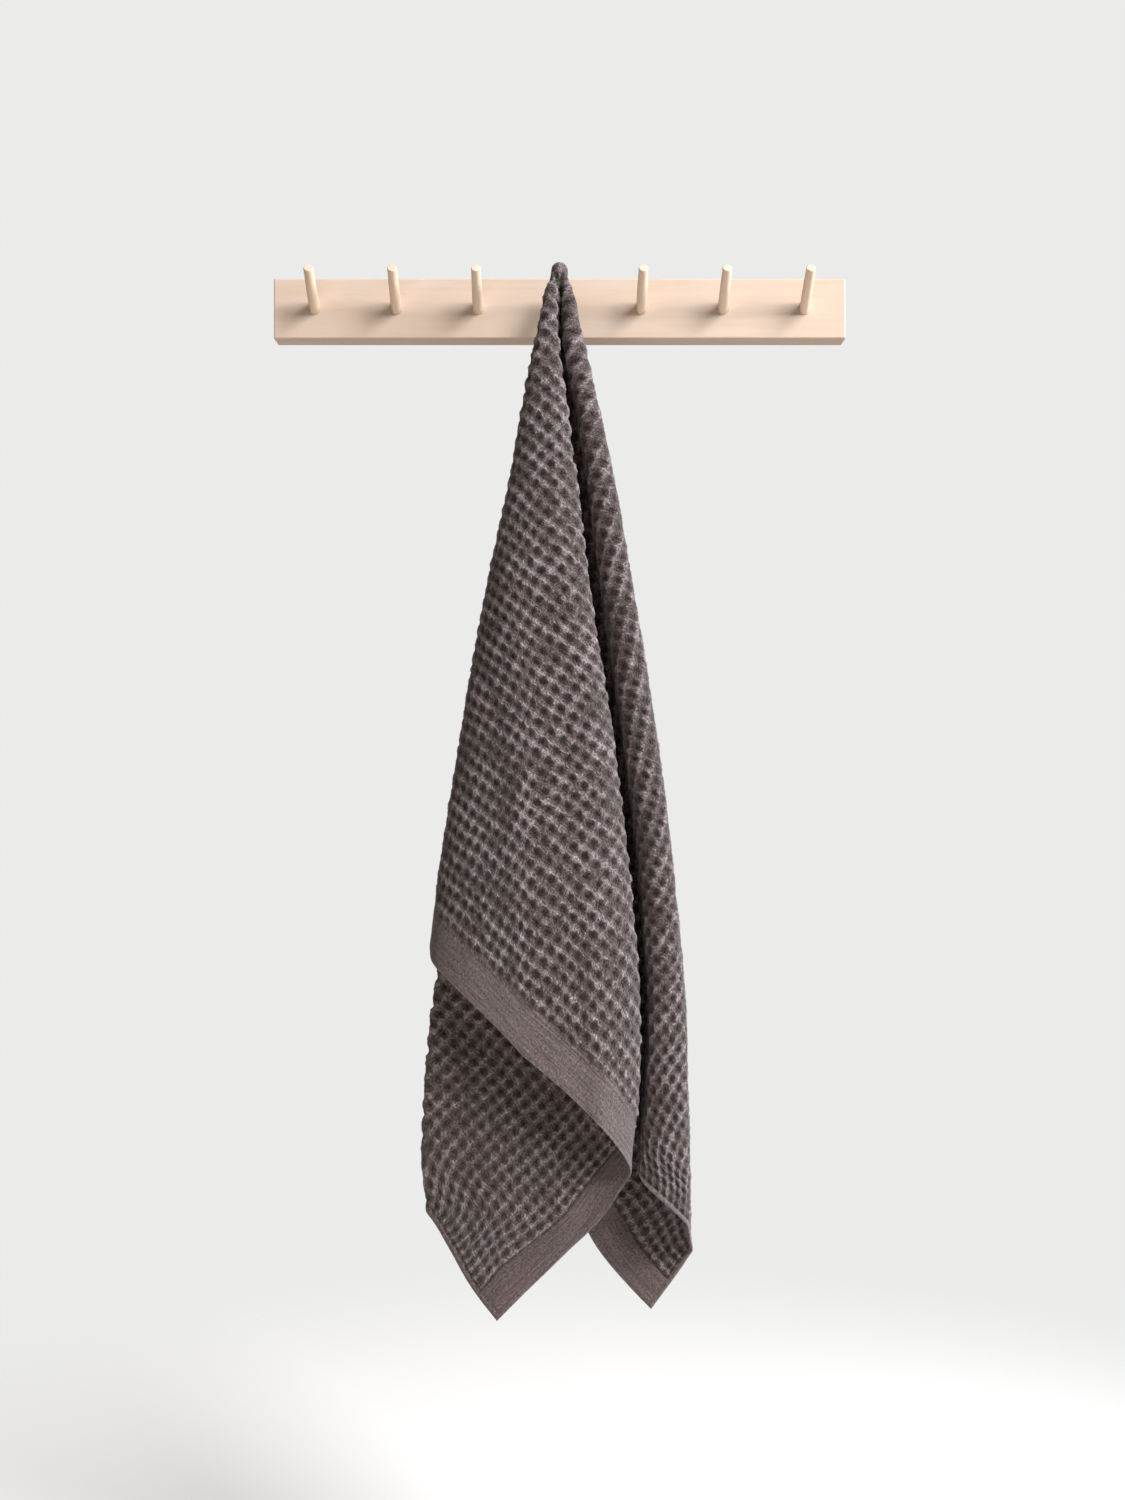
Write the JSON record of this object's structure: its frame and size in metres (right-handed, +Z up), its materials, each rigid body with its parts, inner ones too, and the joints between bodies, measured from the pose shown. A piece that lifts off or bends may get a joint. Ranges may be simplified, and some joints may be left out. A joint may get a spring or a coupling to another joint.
{
  "type": "hung waffle towel on a peg rail",
  "caption": "Waffle-weave linen towel hung in folds over one peg of a wooden wall rail with a row of leaning pegs.",
  "frame": {"origin": "centre of the rail's back face, where it meets the wall", "axes": "+X to the right along the rail, +Y into the wall, +Z up"},
  "size_m": [0.7, 0.1597, 1.2585],
  "materials": {
    "linen": "taupe grey waffle-woven linen with plain-woven end bands",
    "birch": "pale birch, sanded and matt"
  },
  "bodies": {
    "root": {"rail": "birch", "peg_1": "birch", "peg_2": "birch", "peg_3": "birch", "peg_4": "birch", "peg_5": "birch", "peg_6": "birch", "peg_7": "birch", "towel": "linen"}
  },
  "joints": []
}
